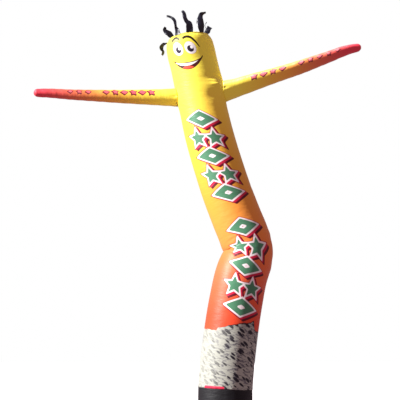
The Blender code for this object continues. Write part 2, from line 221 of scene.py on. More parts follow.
# Finer creases of the same kind, which the solids leave out
CREASES = (
    # pulls that fan out from the hollow of the knee, over the front
    (1.392, -140.0, 0.0090, 26.0, -0.0040, 0.0011), (1.412, -132.0, 0.0080, 22.0, 0.0026, 0.0014),
    (1.338, -138.0, 0.0090, 26.0, -0.0038, -0.0010), (1.318, -130.0, 0.0080, 20.0, 0.0024, -0.0013),
    (1.366, -126.0, 0.0075, 24.0, 0.0030, 0.0001), (1.448, -96.0, 0.0100, 24.0, 0.0022, 0.0010),
    (1.285, -100.0, 0.0100, 22.0, 0.0020, -0.0009), (1.476, -128.0, 0.0120, 18.0, -0.0022, 0.0008),
    # and over the back
    (1.392, 138.0, 0.0090, 26.0, -0.0038, -0.0010), (1.340, 140.0, 0.0090, 24.0, -0.0036, 0.0011),
    (1.366, 126.0, 0.0075, 24.0, 0.0030, 0.0), (1.462, 118.0, 0.0110, 20.0, -0.0024, -0.0009),
    (1.300, 112.0, 0.0110, 22.0, -0.0022, 0.0008), (1.318, 150.0, 0.0080, 18.0, 0.0022, 0.0012),
    # stretched corners outside the knee
    (1.425, 8.0, 0.0100, 30.0, -0.0016, 0.0002), (1.330, -6.0, 0.0100, 32.0, -0.0014, -0.0001),
    (1.500, -20.0, 0.0120, 20.0, -0.0016, 0.0005), (1.240, -22.0, 0.0120, 20.0, -0.0014, -0.0005),
    # the shelf over the full chest, and the small crinkles beside it
    (2.850, -50.0, 0.0400, 11.0, 0.0195, 0.0), (2.745, -66.0, 0.0350, 12.0, -0.0060, 0.0),
    (2.896, -49.0, 0.0100, 15.0, 0.0060, 0.0001), (2.916, -47.0, 0.0080, 15.0, -0.0055, 0.0001),
    (2.866, -50.0, 0.0060, 10.0, -0.0036, -0.0006), (2.848, -54.0, 0.0060, 10.0, 0.0040, -0.0004),
    (2.832, -52.0, 0.0055, 10.0, -0.0040, -0.0002), (2.816, -56.0, 0.0055, 9.0, 0.0036, 0.0002),
    (2.800, -54.0, 0.0055, 9.0, -0.0034, 0.0005), (2.900, -8.0, 0.0080, 14.0, -0.0036, -0.0010),
    (2.775, -34.0, 0.0140, 16.0, -0.0026, 0.0012), (2.725, -30.0, 0.0130, 18.0, -0.0020, 0.0016),
    # pulls under and over the arm roots
    (2.755, 20.0, 0.0120, 16.0, -0.0034, 0.0016), (2.745, -16.0, 0.0120, 16.0, -0.0030, -0.0014),
    (3.010, 24.0, 0.0120, 16.0, -0.0036, -0.0016), (2.910, -160.0, 0.0110, 14.0, -0.0030, 0.0018),
    (2.735, -156.0, 0.0110, 14.0, -0.0028, -0.0016), (2.910, 158.0, 0.0110, 14.0, -0.0030, -0.0016),
    (2.730, 156.0, 0.0110, 14.0, -0.0026, 0.0014), (2.965, 60.0, 0.0140, 20.0, -0.0028, 0.0008),
    # slack on the head's shaded side, and below the chest
    (3.200, 20.0, 0.0200, 20.0, -0.0030, 0.0014), (3.120, 40.0, 0.0180, 18.0, -0.0026, -0.0010),
    (2.620, -24.0, 0.0220, 18.0, -0.0020, 0.0022), (2.500, -160.0, 0.0260, 18.0, -0.0018, -0.0020),
    (2.300, 10.0, 0.0280, 16.0, -0.0016, 0.0020), (2.050, 150.0, 0.0260, 20.0, -0.0020, 0.0022),
    (1.880, -10.0, 0.0240, 18.0, -0.0016, -0.0020), (1.720, 60.0, 0.0240, 20.0, -0.0018, 0.0018),
    (1.080, -150.0, 0.0260, 20.0, -0.0016, 0.0020), (0.900, 30.0, 0.0260, 18.0, -0.0016, -0.0020),
    (0.660, 140.0, 0.0240, 20.0, -0.0018, 0.0018), (0.400, -10.0, 0.0220, 16.0, -0.0016, 0.0016),
)
print(len(BODY), "stops,", len(FOLDS), "folds and", len(CREASES), "creases")

# %% [markdown]
# ## The body's surface
#
# A point of the tube is its section's middle plus the radius there, times the cosine of the angle
# along the section's side direction plus the sine along its back direction. Folds, the pucker of the
# back seam and the gathers at both ends are all added to the radius, so the surface stays whole.

# %% Surface of the body tube
SEAM_AT = 90.0          # degrees: the tube's one long seam runs down its back
SEAM_PUCKER = 0.0016    # metres: how far its stitches draw the cloth in
PUCKER_STEP = 0.055     # metres between two puckers


def body_line(heights):
    """Middle, side, back and up directions, and diameter, of the sections at these heights."""
    line = smooth(BODY[:, 0], BODY[:, 1:], heights)
    step = 0.001
    low, high = np.maximum(heights - step, 0.0), np.minimum(heights + step, SEAM_HEIGHT)
    ahead, behind = (smooth(BODY[:, 0], BODY[:, 1:3], at) for at in (high, low))
    slope = (ahead - behind) / (high - low)[..., None]
    up = unit(np.concatenate([slope, np.ones_like(heights)[..., None]], axis=-1))
    side = unit(np.cross((0.0, 1.0, 0.0), up))
    middle = np.stack([line[..., 0], line[..., 1], heights], axis=-1)
    return middle, side, np.cross(up, side), up, line[..., 2]


def rises(table, heights, degrees):
    """How far a table of folds pushes the cloth out: a sum of humps in height times humps round."""
    total = np.zeros(np.broadcast(heights, degrees).shape)
    for height, middle, tall, wide, rise, climb in table:
        round_by = (degrees - middle + 180.0) % 360.0 - 180.0
        total += rise * bump_of(heights - height - climb * round_by, tall) * bump_of(round_by, wide)
    return total


def gathers(heights, degrees):
    """Small waves where the tube is sewn: at the collar, at the cap and down the back seam."""
    turn = np.radians(degrees)
    at_foot = bump_of(heights - COLLAR_HEIGHT, 0.030) * (np.sin(31 * turn) + np.sin(19 * turn + 2.0))
    at_head = bump_of(heights - SEAM_HEIGHT, 0.026) * (np.sin(27 * turn + 1.0) + np.sin(41 * turn))
    off_seam = (degrees - SEAM_AT + 180.0) % 360.0 - 180.0
    down_back = bump_of(off_seam, 5.0) * (1.0 + 0.6 * np.sin(heights * 2 * math.pi / PUCKER_STEP))
    return 0.0007 * at_foot + 0.0009 * at_head - SEAM_PUCKER * down_back


def body_radius(heights, degrees, across):
    """Radius of the finished cloth at each height and angle."""
    return (across / 2 + rises(FOLDS, heights, degrees) + rises(CREASES, heights, degrees)
            + gathers(heights, degrees))


def body_points(heights, degrees):
    """Points of the body's cloth for a column of heights and a row of angles."""
    middle, side, back, _, across = body_line(heights)
    turn = np.radians(degrees)[None, :, None]
    radius = body_radius(heights[:, None], degrees[None, :], across[:, None])
    return (middle[:, None] + radius[..., None] * (np.cos(turn) * side[:, None]
                                                   + np.sin(turn) * back[:, None]))


COLUMNS = 180
ROW_STEP = 0.0098       # metres between rows of the cloth
FINE_STEP = 0.0048      # and over the knee, the chest and the face


def row_heights():
    """Heights of the cloth's rows: an even step, finer over the knee, the chest and the face."""
    at = np.linspace(COLLAR_HEIGHT, SEAM_HEIGHT, 4000)
    fine = np.maximum(bump_of(at - 1.365, 0.10), bump_of(at - 3.04, 0.28))
    density = 1 / (ROW_STEP + (FINE_STEP - ROW_STEP) * fine)
    rows = np.concatenate([[0.0], np.cumsum((density[1:] + density[:-1]) / 2 * np.diff(at))])
    return np.interp(np.linspace(0, rows[-1], int(rows[-1]) + 1), rows, at)


heights = row_heights()
degrees = SEAM_AT + np.arange(COLUMNS) * 360.0 / COLUMNS
body_rows = body_points(heights, degrees)
print("body cloth:", body_rows.shape[0], "rows of", COLUMNS)

# %% [markdown]
# ## The print's own coordinates
#
# The colours were dyed on the flat cloth before it was sewn. When the tube is blown up it twists a
# little, and the print turns and tilts with it. So the UV map is the flat cloth: across it from the
# print's middle line, and up it from the collar, both in metres. The tilt is a sine round the tube,
# which meets itself at the back seam.

# %% Print coordinates of the body
# Metres up the cloth, degrees that the print's middle line is off the front, tilt of its rows
TWIST = np.array((
    (0.00, 9.0, 0.00), (0.60, 11.5, 0.02), (0.86, 8.0, 0.00), (1.03, 2.0, -0.04),
    (1.20, -1.5, 0.10), (1.37, -1.5, 0.14), (1.67, -3.0, 0.20), (1.87, -8.0, 0.24),
    (2.06, -12.0, 0.27), (2.45, -15.5, 0.28), (2.80, -18.0, 0.27), (3.40, -20.0, 0.25),
))


def print_chart(up_cloth, angles):
    """Print coordinates for distances up the cloth and angles round it.

    Across is the radius times the angle off the print's middle line. Up is the distance plus the
    tilt times the radius times the sine of that angle.
    """
    line = smooth(TWIST[:, 0], TWIST[:, 1:], up_cloth)
    off = np.radians(angles[None, :] - 270.0 - line[:, :1])
    up = up_cloth[:, None] + line[:, 1:] * RADIUS * np.sin(off)
    return np.stack([RADIUS * off, up], axis=-1)


up_cloth = run_length(body_line(heights)[0])
edge_degrees = np.append(degrees, degrees[-1] + 360.0 / COLUMNS)
body_chart = print_chart(up_cloth, edge_degrees)
print("the cloth is", round(float(up_cloth[-1]), 3), "m long up the tube")

# %% [markdown]
# ## Printed shapes as distances
#
# A printed shape is worked out as a distance: below zero inside it, above zero outside. Stored on
# the cloth's points and blended between them, it gives the material a crisp edge at any zoom, and an
# outline or a drop shadow is only another range of the same number. The printed figures are plain
# lozenges and pairs of five-pointed stars, in two groups of five down the front.

# %% Distance functions for printed shapes
def lozenge(x, y, half_width, half_height):
    """Distance to a lozenge: the sum of its two offsets as shares of its halves, less one."""
    steep = half_width * half_height / math.hypot(half_width, half_height)
    return (np.abs(x) / half_width + np.abs(y) / half_height - 1) * steep


def disc(x, y, half_width, half_height=None):
    """Distance to a circle or an ellipse: its scaled radius less one, times its smaller half."""
    half_height = half_height or half_width
    return (np.hypot(x / half_width, y / half_height) - 1) * min(half_width, half_height)


def star(x, y, radius, waist=0.46):
    """Distance to a five-pointed star: folded into one tenth of it, it is one straight edge."""
    turn = np.arctan2(x, y)
    folded = np.abs((turn + math.pi / 5) % (2 * math.pi / 5) - math.pi / 5)
    far = np.hypot(x, y)
    px, py = far * np.sin(folded), far * np.cos(folded)
    valley = radius * waist * np.array((math.sin(math.pi / 5), math.cos(math.pi / 5)))
    edge = valley - np.array((0.0, radius))
    normal = np.array((-edge[1], edge[0])) / np.hypot(*edge)
    return px * normal[0] + (py - radius) * normal[1]


def stroke(x, y, line, widths):
    """Distance to a brush stroke: to the nearest point of its line, less the half width there."""
    at = np.linspace(0, 1, 40)
    table = np.column_stack([line, widths])
    path = smooth(np.linspace(0, 1, len(table)), table, at)
    return np.min([np.hypot(x - px, y - py) - half for px, py, half in path], axis=0)


def keep(piece, name, values, every=4):
    """Stores one value for each point of a cloth shell, the inner wall's points too."""
    count = values.shape[0]
    kept = np.unique(np.append(np.arange(0, count, every), count - 1))[::-1]
    flat = np.concatenate([values, values[kept]]).ravel()
    layer = piece.data.attributes.new(name, "FLOAT", "POINT")
    full = np.ones(len(piece.data.vertices), np.float32)
    full[:len(flat)] = flat
    layer.data.foreach_set("value", full)


# %% Motifs down the front
GROUPS = ((1.615, 0.179), (0.589, 0.176))   # metres: where each group starts, and its step
MOTIFS_EACH = 5
SHADOW = (0.030, -0.024)                    # metres: how far the drop shadow reaches
SHADOW_STEPS = 7


def motif(x, y, index):
    """One printed figure about its own middle: a lozenge with an eye in it, or a pair of stars."""
    wide = np.maximum(lozenge(x, y, 0.136, 0.074), -lozenge(x, y, 0.040, 0.021))
    pair = np.minimum(star(x + 0.078, y + 0.004, 0.080), star(x - 0.078, y + 0.004, 0.080))
    return np.where(index % 2 == 0, wide, pair)


def motif_column(x, y):
    """Distance to the nearest figure of both groups."""
    nearest = np.full(x.shape, 1.0)
    for start, step in GROUPS:
        for index in range(MOTIFS_EACH):
            middle = start + (index + 0.5) * step
            nearest = np.minimum(nearest, motif(x, y - middle, np.full(x.shape, index)))
    return nearest


body_x, body_y = body_chart[:, :-1, 0], body_chart[:, :-1, 1]
motifs = motif_column(body_x, body_y)
drops = np.array([motif_column(body_x - share * SHADOW[0], body_y - share * SHADOW[1])
                  for share in np.linspace(0, 1, SHADOW_STEPS)])
near_drop, far_drop = drops[:SHADOW_STEPS // 2 + 1].min(axis=0), drops[SHADOW_STEPS // 2:].min(axis=0)
print("motif area", round(float((motifs < 0).mean() * 1.457 * 3.29), 3), "m2")

# %% [markdown]
# ## The printed face
#
# A plain smiling face: two round eyes that nearly touch, round pupils with a highlight, arched
# brows and a wide open smile with a row of teeth and a tongue. Each part is one distance again.

# %% Face
EYES = ((-0.0613, 3.132), (0.0613, 3.144))
MOUTH_HALF = 0.155
MOUTH_CORNER, MOUTH_TOP, MOUTH_LOW, TEETH_LOW = 3.044, 2.994, 2.924, 2.962


def sagging(x, middle, power):
    """A curve that hangs from the mouth's corners: their height less a power of the offset."""
    share = np.minimum(np.abs(x) / MOUTH_HALF, 1.2)
    return middle + (MOUTH_CORNER - middle) * share ** power + 0.10 * x


x, y = body_x, body_y
eyes = np.min([disc(x - across, y - up, 0.0525, 0.058) for across, up in EYES], axis=0)
pupils = np.minimum(disc(x + 0.058, y - 3.122, 0.0265), disc(x - 0.0605, y - 3.136, 0.0300))
glints = np.minimum(disc(x + 0.046, y - 3.134, 0.0120), disc(x - 0.0735, y - 3.150, 0.0130))
mouth = np.maximum(y - sagging(x, MOUTH_TOP, 2.2), sagging(x, MOUTH_LOW, 2.0) - y)
mouth = np.maximum(mouth, np.abs(x) - MOUTH_HALF) * 0.8
teeth_low = sagging(x, TEETH_LOW, 2.4) + 0.17 * np.maximum(x - 0.02, 0)
teeth = np.maximum(mouth + 0.004, teeth_low - y)
tongue = np.maximum(mouth + 0.003, disc(x - 0.004, y - 2.905, 0.078, 0.055))
brows = np.minimum(
    stroke(x, y, ((-0.114, 3.198), (-0.088, 3.219), (-0.060, 3.226), (-0.034, 3.216)),
           (0.0095, 0.0135, 0.0135, 0.0095)),
    stroke(x, y, ((0.012, 3.228), (0.046, 3.245), (0.088, 3.240), (0.122, 3.206), (0.150, 3.160)),
           (0.0095, 0.0120, 0.0120, 0.0100, 0.0050)))
cheeks = np.minimum(
    stroke(x, y, ((0.126, 3.030), (0.150, 3.058), (0.160, 3.076)), (0.0030, 0.0045, 0.0015)),
    stroke(x, y, ((-0.128, 3.000), (-0.150, 3.026), (-0.166, 3.032)), (0.0020, 0.0030, 0.0010)))
lines = np.minimum(brows, cheeks)
print("eye", round(float(eyes.min()), 3), "mouth", round(float(mouth.min()), 3))

# %% [markdown]
# ## The pale band over the collar
#
# The foot of the tube carries a pale band, full of small dark slanting flecks and thin grey
# strokes. Its upper edge is uneven, as if it were torn.

# %% Band
# The band's upper edge: place round the cloth and height up it
TORN = np.array((
    (-0.730, 0.480), (-0.600, 0.500), (-0.450, 0.462), (-0.300, 0.458), (-0.184, 0.455),
    (-0.176, 0.478), (-0.130, 0.490), (-0.020, 0.527), (0.060, 0.548), (0.110, 0.560),
    (0.146, 0.582), (0.158, 0.550), (0.170, 0.510), (0.200, 0.498), (0.300, 0.501),
    (0.420, 0.474), (0.560, 0.500), (0.660, 0.480), (0.730, 0.480)))


def torn_edge(x):
    """Height of the band's upper edge: the table's steps, with a small unevenness on them."""
    return np.interp(x, TORN[:, 0], TORN[:, 1]) + 0.0022 * np.sin(61 * x) + 0.0014 * np.sin(143 * x + 1)


band = body_y - torn_edge(body_x)
# A dark printed line along the band's edge, thinned to nothing toward the sunlit left side: painted
# glare there.
rim = band - 0.0085 * np.clip((body_x + 0.18) / 0.22, 0, 1)
BAND_FOOT = 0.0185      # metres: under the band, a strip of crimson shows here and there
sliver = np.maximum(body_y - BAND_FOOT, np.abs(body_x + 0.147) - 0.092)
print("band reaches", round(float(torn_edge(body_x[0]).max()), 3), "m up the cloth")

# %% [markdown]
# ## Colours and the node helper
#
# A picture's colours are sRGB numbers, and a shader works with linear light, so one function turns
# the first into the second. Another adds a node, sets its properties and fills its sockets in order.

# %% Colour and node helpers
def colour(text):
    """Linear colour of an sRGB hex value: each channel up the curve that sRGB defines."""
    channels = np.array([int(text[i:i + 2], 16) for i in (0, 2, 4)]) / 255
    linear = np.where(channels <= 0.04045, channels / 12.92, ((channels + 0.055) / 1.055) ** 2.4)
    return (*map(float, linear), 1.0)


def add(tree, kind, *inputs, **settings):
    """Adds a node with its settings, and fills its sockets in order with values or links."""
    made = tree.nodes.new("ShaderNode" + kind)
    for name, value in settings.items():
        setattr(made, name, value)
    for socket, value in zip(made.inputs, inputs):
        if isinstance(value, bpy.types.NodeSocket):
            tree.links.new(value, socket)
        elif value is not None:
            socket.default_value = value
    return made.outputs[0] if made.outputs else None


def new_material(name):
    """An empty material and its node tree."""
    material = bpy.data.materials.new(name)
    material.use_nodes = True
    material.node_tree.nodes.clear()
    return material, material.node_tree


def ramp(tree, factor, stops):
    """A colour ramp through (place, hex) stops: a gradient is one node with many settings."""
    socket = add(tree, "ValToRGB", factor)
    points = socket.node.color_ramp.elements
    while len(points) < len(stops):
        points.new(0.5)
    for point, (place, text) in zip(points, stops):
        point.position = place
        point.color = colour(text)
    return socket


# %% [markdown]
# ## Rip-stop nylon
#
# Air dancers are sewn from rip-stop nylon: a thin plain weave with a thicker thread every few
# millimetres, coated so that it holds air. It has a soft sheen, and it never lies quite smooth: the
# air pushes it into shallow ripples a hand wide. The thick threads are a fine grid in the bump.

# %% Rip-stop nylon finish
RIPSTOP = 0.008         # metres between two thick threads; real ones are 5 mm, too fine to show
THREAD_SHARE = 0.16     # share of that step that the thick thread fills
NYLON_IOR = 1.53


def nylon(tree, tint, roughness=0.46, ripple=0.0016, weave=0.00022, sheen=0.08, gloss=0.35):
    """Finishes a nylon material: a shader with its weave, ripples and sheen over a given colour."""
    chart = add(tree, "UVMap", uv_map="print")
    axes = add(tree, "SeparateXYZ", chart).node.outputs
    grid = None
    for axis in axes[:2]:
        cell = add(tree, "Math", axis, RIPSTOP, operation="PINGPONG")
        line = add(tree, "MapRange", cell, 0.0, RIPSTOP * THREAD_SHARE, 1.0, 0.0,
                   interpolation_type="SMOOTHSTEP")
        grid = line if grid is None else add(tree, "Math", grid, line, operation="MAXIMUM")
    soft = add(tree, "TexNoise", chart, None, 7.0, 3.0, 0.55)
    stretched = add(tree, "Mapping", chart, None, None, (1.0, 3.2, 1.0))
    slack = add(tree, "TexNoise", stretched, None, 9.0, 4.0, 0.6)
    both = add(tree, "Math", soft, slack, operation="ADD")
    rippled = add(tree, "Bump", 0.8, ripple * 2.2, None, both)
    woven = add(tree, "Bump", 0.5, weave, None, grid, rippled)
    uneven = add(tree, "MapRange", soft, 0.3, 0.7, roughness - 0.05, roughness + 0.07)
    shader = tree.nodes.new("ShaderNodeBsdfPrincipled")
    tree.links.new(tint, shader.inputs["Base Color"])
    tree.links.new(uneven, shader.inputs["Roughness"])
    tree.links.new(woven, shader.inputs["Normal"])
    shader.inputs["IOR"].default_value = NYLON_IOR
    shader.inputs["Specular IOR Level"].default_value = gloss
    shader.inputs["Sheen Weight"].default_value = sheen
    shader.inputs["Sheen Roughness"].default_value = 0.4
    add(tree, "OutputMaterial", shader.outputs[0])
    return shader


DYE_TOP = 3.6           # metres up the cloth where the dye's gradient ends
DYE = ((0.00, "D83F26"), (0.16, "DB4628"), (0.25, "E05E3A"), (0.31, "E66F38"), (0.38, "E6883C"),
       (0.47, "E79838"), (0.55, "E8AA3A"), (0.63, "F2BE42"), (0.72, "F9D64A"), (0.83, "FFF052"),
       (1.00, "FFF052"))


def dyed(tree):
    """The dye's gradient up the cloth: red over the band, orange at the knee, yellow above."""
    axes = add(tree, "SeparateXYZ", add(tree, "UVMap", uv_map="print")).node.outputs
    share = add(tree, "Math", axes[1], DYE_TOP, operation="DIVIDE")
    return ramp(tree, share, DYE)


# %% Printed layers
EDGE = 0.0012           # metres over which a printed edge fades


def layer(tree, under, name, top, reach=0.0):
    """Prints a colour over another wherever a stored distance is below a reach."""
    distance = add(tree, "Attribute", attribute_name=name).node.outputs["Fac"]
    cover = add(tree, "MapRange", distance, reach - EDGE, reach + EDGE, 1.0, 0.0)
    over = top if isinstance(top, bpy.types.NodeSocket) else colour(top)
    return add(tree, "MixRGB", cover, under, over)


LENS_CELL, LENS_SLANT = (0.100, 0.037, 1.0), -31    # metres and degrees: one dark shape's room
STROKE_CELL, STROKE_SLANT = (0.110, 0.024, 1.0), -7     # the same for the thin strokes
# The band's ink is thinned toward the sunlit left side: painted glare there.
GLARE_FADE_FROM, GLARE_FADE_TO = -0.24, -0.02                       # metres across: where the ink fades out


def flecks(tree):
    """The band's print: dark slanting lens shapes and thin grey strokes on warm white. Their ink fades
    toward the sunlit left side, a painted glare.
    """
    chart = add(tree, "UVMap", uv_map="print")
    place = add(tree, "SeparateXYZ", chart).node.outputs[0]
    # ink strength grows from the sunlit left to the shaded right: painted glare on the lit side
    ink_under_painted_glare = add(tree, "MapRange", place, GLARE_FADE_FROM, GLARE_FADE_TO, 0.30, 1.0)
    turned = add(tree, "Mapping", chart, None, (0.0, 0.0, math.radians(LENS_SLANT)), LENS_CELL,
                 vector_type="TEXTURE")
    cells = add(tree, "TexVoronoi", turned, None, 1.0, feature="F1", voronoi_dimensions="2D").node
    size = add(tree, "SeparateXYZ", cells.outputs["Color"]).node.outputs[0]
    reach = add(tree, "MapRange", size, 0.05, 1.0, 0.17, 0.40)
    inside = add(tree, "Math", cells.outputs["Distance"], reach, operation="SUBTRACT")
    lens = add(tree, "MapRange", inside, -0.08, 0.02, 1.0, 0.0)
    dark = add(tree, "Math", lens, ink_under_painted_glare, operation="MULTIPLY")
    drawn = add(tree, "Mapping", chart, None, (0.0, 0.0, math.radians(STROKE_SLANT)), STROKE_CELL,
                vector_type="TEXTURE")
    waves = add(tree, "TexNoise", drawn, None, 1.0, 2.0, 0.5, noise_dimensions="2D")
    ridge = add(tree, "Math", add(tree, "Math", waves, 0.5, operation="SUBTRACT"), operation="ABSOLUTE")
    thin = add(tree, "MapRange", ridge, 0.0, 0.070, 1.0, 0.0)
    grey = add(tree, "Math", thin, ink_under_painted_glare, operation="MULTIPLY")
    paper = add(tree, "MixRGB", grey, colour("A2A398"), colour("484452"))
    return add(tree, "MixRGB", dark, paper, colour("221E28"))


def printed_nylon():
    """The body's cloth: the dye with the band, the motifs and the face printed over it."""
    material, tree = new_material("printed rip-stop nylon")
    tint = dyed(tree)
    # the band's dark printed edge line, thinned toward the sunlit side as painted glare
    tint = layer(tree, tint, "rim", "3A0E12")
    tint = layer(tree, tint, "band", flecks(tree))
    tint = layer(tree, tint, "sliver", "D2304A")
    tint = layer(tree, tint, "motif", "A8482E", 0.0195)
    tint = layer(tree, tint, "far drop", "5C0A1A", 0.0165)
    tint = layer(tree, tint, "near drop", "BE1C3E", 0.0150)
    tint = layer(tree, tint, "motif", "E9DEDF", 0.0135)
    tint = layer(tree, tint, "motif", "4A7D5E")
    tint = layer(tree, tint, "eyes", "D9B83C", 0.0040)
    tint = layer(tree, tint, "eyes", "F1ECEC")
    tint = layer(tree, tint, "pupils", "2A2030")
    tint = layer(tree, tint, "glints", "FFFFFF")
    tint = layer(tree, tint, "mouth", "4A1418", 0.0030)
    tint = layer(tree, tint, "tongue", "F0503C")
    tint = layer(tree, tint, "teeth", "FCFAF6")
    tint = layer(tree, tint, "lines", "2A1804")
    nylon(tree, tint, gloss=0.18)
    return material


# %% Make the body's cloth
body = cloth_shell("body_cloth", body_rows, body_chart)
for name, values in (("motif", motifs), ("near drop", near_drop), ("far drop", far_drop),
                     ("band", band), ("rim", rim), ("sliver", sliver), ("eyes", eyes),
                     ("pupils", pupils), ("glints", glints), ("mouth", mouth), ("teeth", teeth),
                     ("tongue", tongue), ("lines", lines)):
    keep(body, name, values)
dress(body, printed_nylon(), "printed_cloth", "body_tube")

# %% [markdown]
# ## The cap of the head
#
# The top of the head is a disc of cloth sewn into the end of the tube, which the air pushes up into
# a shallow dome. The dome is a parabola turned about the tube's line: its radius falls as the cosine
# of an angle while its height grows as the square of the sine. Its gathers run in from the seam.

# %% Cap
CAP_RISE = 0.045
CAP_BAND = 0.004
CAP_STEPS = 34

top_height = np.array((SEAM_HEIGHT,))
cap_middle, cap_side, cap_back, cap_up, cap_across = (part[0] for part in body_line(top_height))


def cap_rows():
    """Rows of the dome from its seam inwards, and its top point."""
    seam = body_points(top_height, degrees)[0] - cap_middle
    rise = np.radians(np.linspace(0, 90, CAP_STEPS + 1)[:-1])[:, None, None]
    turn = np.radians(degrees)
    wave = np.sin(27 * turn + 1.0) + 0.7 * np.sin(41 * turn) + 0.5 * np.sin(9 * turn)
    ripple = 0.0011 * wave[None, :, None] * np.sin(2 * rise) * np.cos(rise)
    foot = GAP + CAP_BAND
    dome = cap_middle + cap_up * (foot + CAP_RISE * np.sin(rise) ** 2 + ripple) + seam * np.cos(rise)
    band = cap_middle + cap_up * GAP + seam
    return np.concatenate([band[None], dome]), cap_middle + cap_up * (foot + CAP_RISE)


cap_points, cap_tip = cap_rows()
cap_chart = np.repeat(body_chart[-1:], len(cap_points), axis=0)
cap_chart[..., 1] += np.linspace(0, 0.2, len(cap_points))[:, None]


def dyed_nylon():
    """The same dyed cloth with nothing printed over it."""
    material, tree = new_material("dyed rip-stop nylon")
    nylon(tree, dyed(tree))
    return material


plain_dyed = dyed_nylon()
cap = cloth_shell("cap_cloth", cap_points, cap_chart, tip=cap_tip)
dress(cap, plain_dyed, "printed_cloth", "head_cap")

# %% [markdown]
# ## The collar
#
# The foot is a sleeve of heavier black cloth that is strapped over the blower's outlet. Its rim is
# turned in and stitched, and one edge overlaps the other in a line down the front. It goes from
# level at the ground to square with the leaning tube at its top.

# %% Collar
COLLAR_ROWS = 30
HEM_HEIGHT = 0.028
OVERLAP_AT = -92.0      # degrees: where its edges overlap


def collar_points():
    """Rows from the ground up: a circle whose side direction turns from level to the tube's."""
    _, side, back, up, across = (part[0] for part in body_line(np.array((COLLAR_HEIGHT,))))
    top = np.array((BODY[1, 1], BODY[1, 2], COLLAR_HEIGHT)) - up * GAP
    share = np.linspace(0, 1, COLLAR_ROWS)[:, None]
    along = unit(np.array((1.0, 0.0, 0.0)) * (1 - share) + side * share)
    turn = np.radians(degrees)[None, :]
    off = (degrees - OVERLAP_AT + 180) % 360 - 180
    lap = 0.0012 * (np.tanh(off / 1.2) + 1) / 2 * (np.tanh((26 - off) / 10.0) + 1) / 2
    hem = 0.0010 * (1 - np.tanh((share * COLLAR_HEIGHT - HEM_HEIGHT) / 0.002)) / 2
    folds = rises(((0.11, -150, 0.05, 16, -0.0030, 0.0012), (0.08, -40, 0.06, 14, -0.0026, -0.0010),
                   (0.12, 30, 0.05, 16, -0.0030, 0.0012), (0.10, 120, 0.06, 18, -0.0028, 0.0010),
                   (0.15, -80, 0.03, 20, -0.0016, 0.0004)), share * COLLAR_HEIGHT, degrees[None, :])
    ends = np.sin(math.pi * share) ** 0.5
    radius = across / 2 - 0.0022 + lap[None, :] + hem + folds * ends
    return (top * share[..., None] + radius[..., None] * (np.cos(turn)[..., None] * along[:, None]
                                                          + np.sin(turn)[..., None] * back))


def coated_oxford():
    """Black coated oxford nylon: a coarse basket weave under a dull film, dusty near the ground."""
    material, tree = new_material("coated oxford nylon")
    chart = add(tree, "UVMap", uv_map="print")
    height = add(tree, "SeparateXYZ", chart).node.outputs[1]
    cloud = add(tree, "TexNoise", chart, None, 16.0, 5.0, 0.6)
    low = add(tree, "MapRange", height, 0.0, 0.11, 0.5, 0.0)
    patches = add(tree, "MapRange", cloud, 0.42, 0.72, 0.1, 1.0)
    dust = add(tree, "Math", patches, low, operation="MULTIPLY")
    tint = add(tree, "MixRGB", dust, colour("0D0C10"), colour("3C3836"))
    nylon(tree, tint, roughness=0.60, ripple=0.0028, weave=0.00050, sheen=0.03, gloss=0.25)
    return material


collar_rows = collar_points()
collar_chart = np.stack(np.broadcast_arrays(
    RADIUS * np.radians(edge_degrees - 270.0)[None, :],
    np.linspace(0, COLLAR_HEIGHT, COLLAR_ROWS)[:, None]), axis=-1)
collar = cloth_shell("collar_sleeve", collar_rows, collar_chart, every=2, wall=0.0016)
dress(collar, coated_oxford(), "collar_cloth", "collar")

# %% [markdown]
# ## The arms
#
# Each arm is a long cone of the same cloth, closed at its tip, sewn round a hole in the tube. It is
# a profile carried along a line. Where it starts is found by walking inwards along every one of its
# columns until the column meets the body's cloth, so the seam lies on the body whatever its folds.

# %% Arm lines and the way in
# Place to the side, place to the back, height, diameter across
ARM_LINES = {
    "arm_left": np.array((
        (-0.330, 0.000, 2.818, 0.182), (-0.420, 0.000, 2.818, 0.170), (-0.500, 0.000, 2.818, 0.160),
        (-0.800, 0.000, 2.822, 0.134), (-1.100, 0.000, 2.832, 0.114), (-1.400, 0.000, 2.844, 0.096),
        (-1.640, 0.000, 2.860, 0.084), (-1.722, 0.000, 2.861, 0.078))),
    "arm_right": np.array((
        (-0.080, 0.000, 2.845, 0.230), (-0.010, 0.000, 2.868, 0.205), (0.070, 0.000, 2.893, 0.184),
        (0.295, 0.000, 2.970, 0.160), (0.522, 0.000, 3.047, 0.138), (0.751, 0.000, 3.127, 0.127),
        (0.981, 0.000, 3.215, 0.109), (1.200, 0.000, 3.300, 0.090), (1.276, 0.000, 3.318, 0.078))),
}
ARM_TIP = 0.042
ARM_COLUMNS = 64
ARM_STEP = 0.0095
PRINT_AT = 20.0         # degrees over level where the arm's printed line runs


def outside_body(points):
    """How far outside the body's cloth each point lies.

    The section that a point belongs to is the one whose plane holds it, found in a few steps up
    or down the tube's line by the point's own offset along it.
    """
    at = points[..., 2].copy()
    for _ in range(6):
        middle, side, back, up, across = body_line(at)
        at = np.clip(at + ((points - middle) * up).sum(-1) * up[..., 2], COLLAR_HEIGHT, SEAM_HEIGHT)
    off = points - middle
    along_side, along_back = (off * side).sum(-1), (off * back).sum(-1)
    angle = np.degrees(np.arctan2(along_back, along_side))
    return np.hypot(along_side, along_back) - body_radius(at, angle, across)


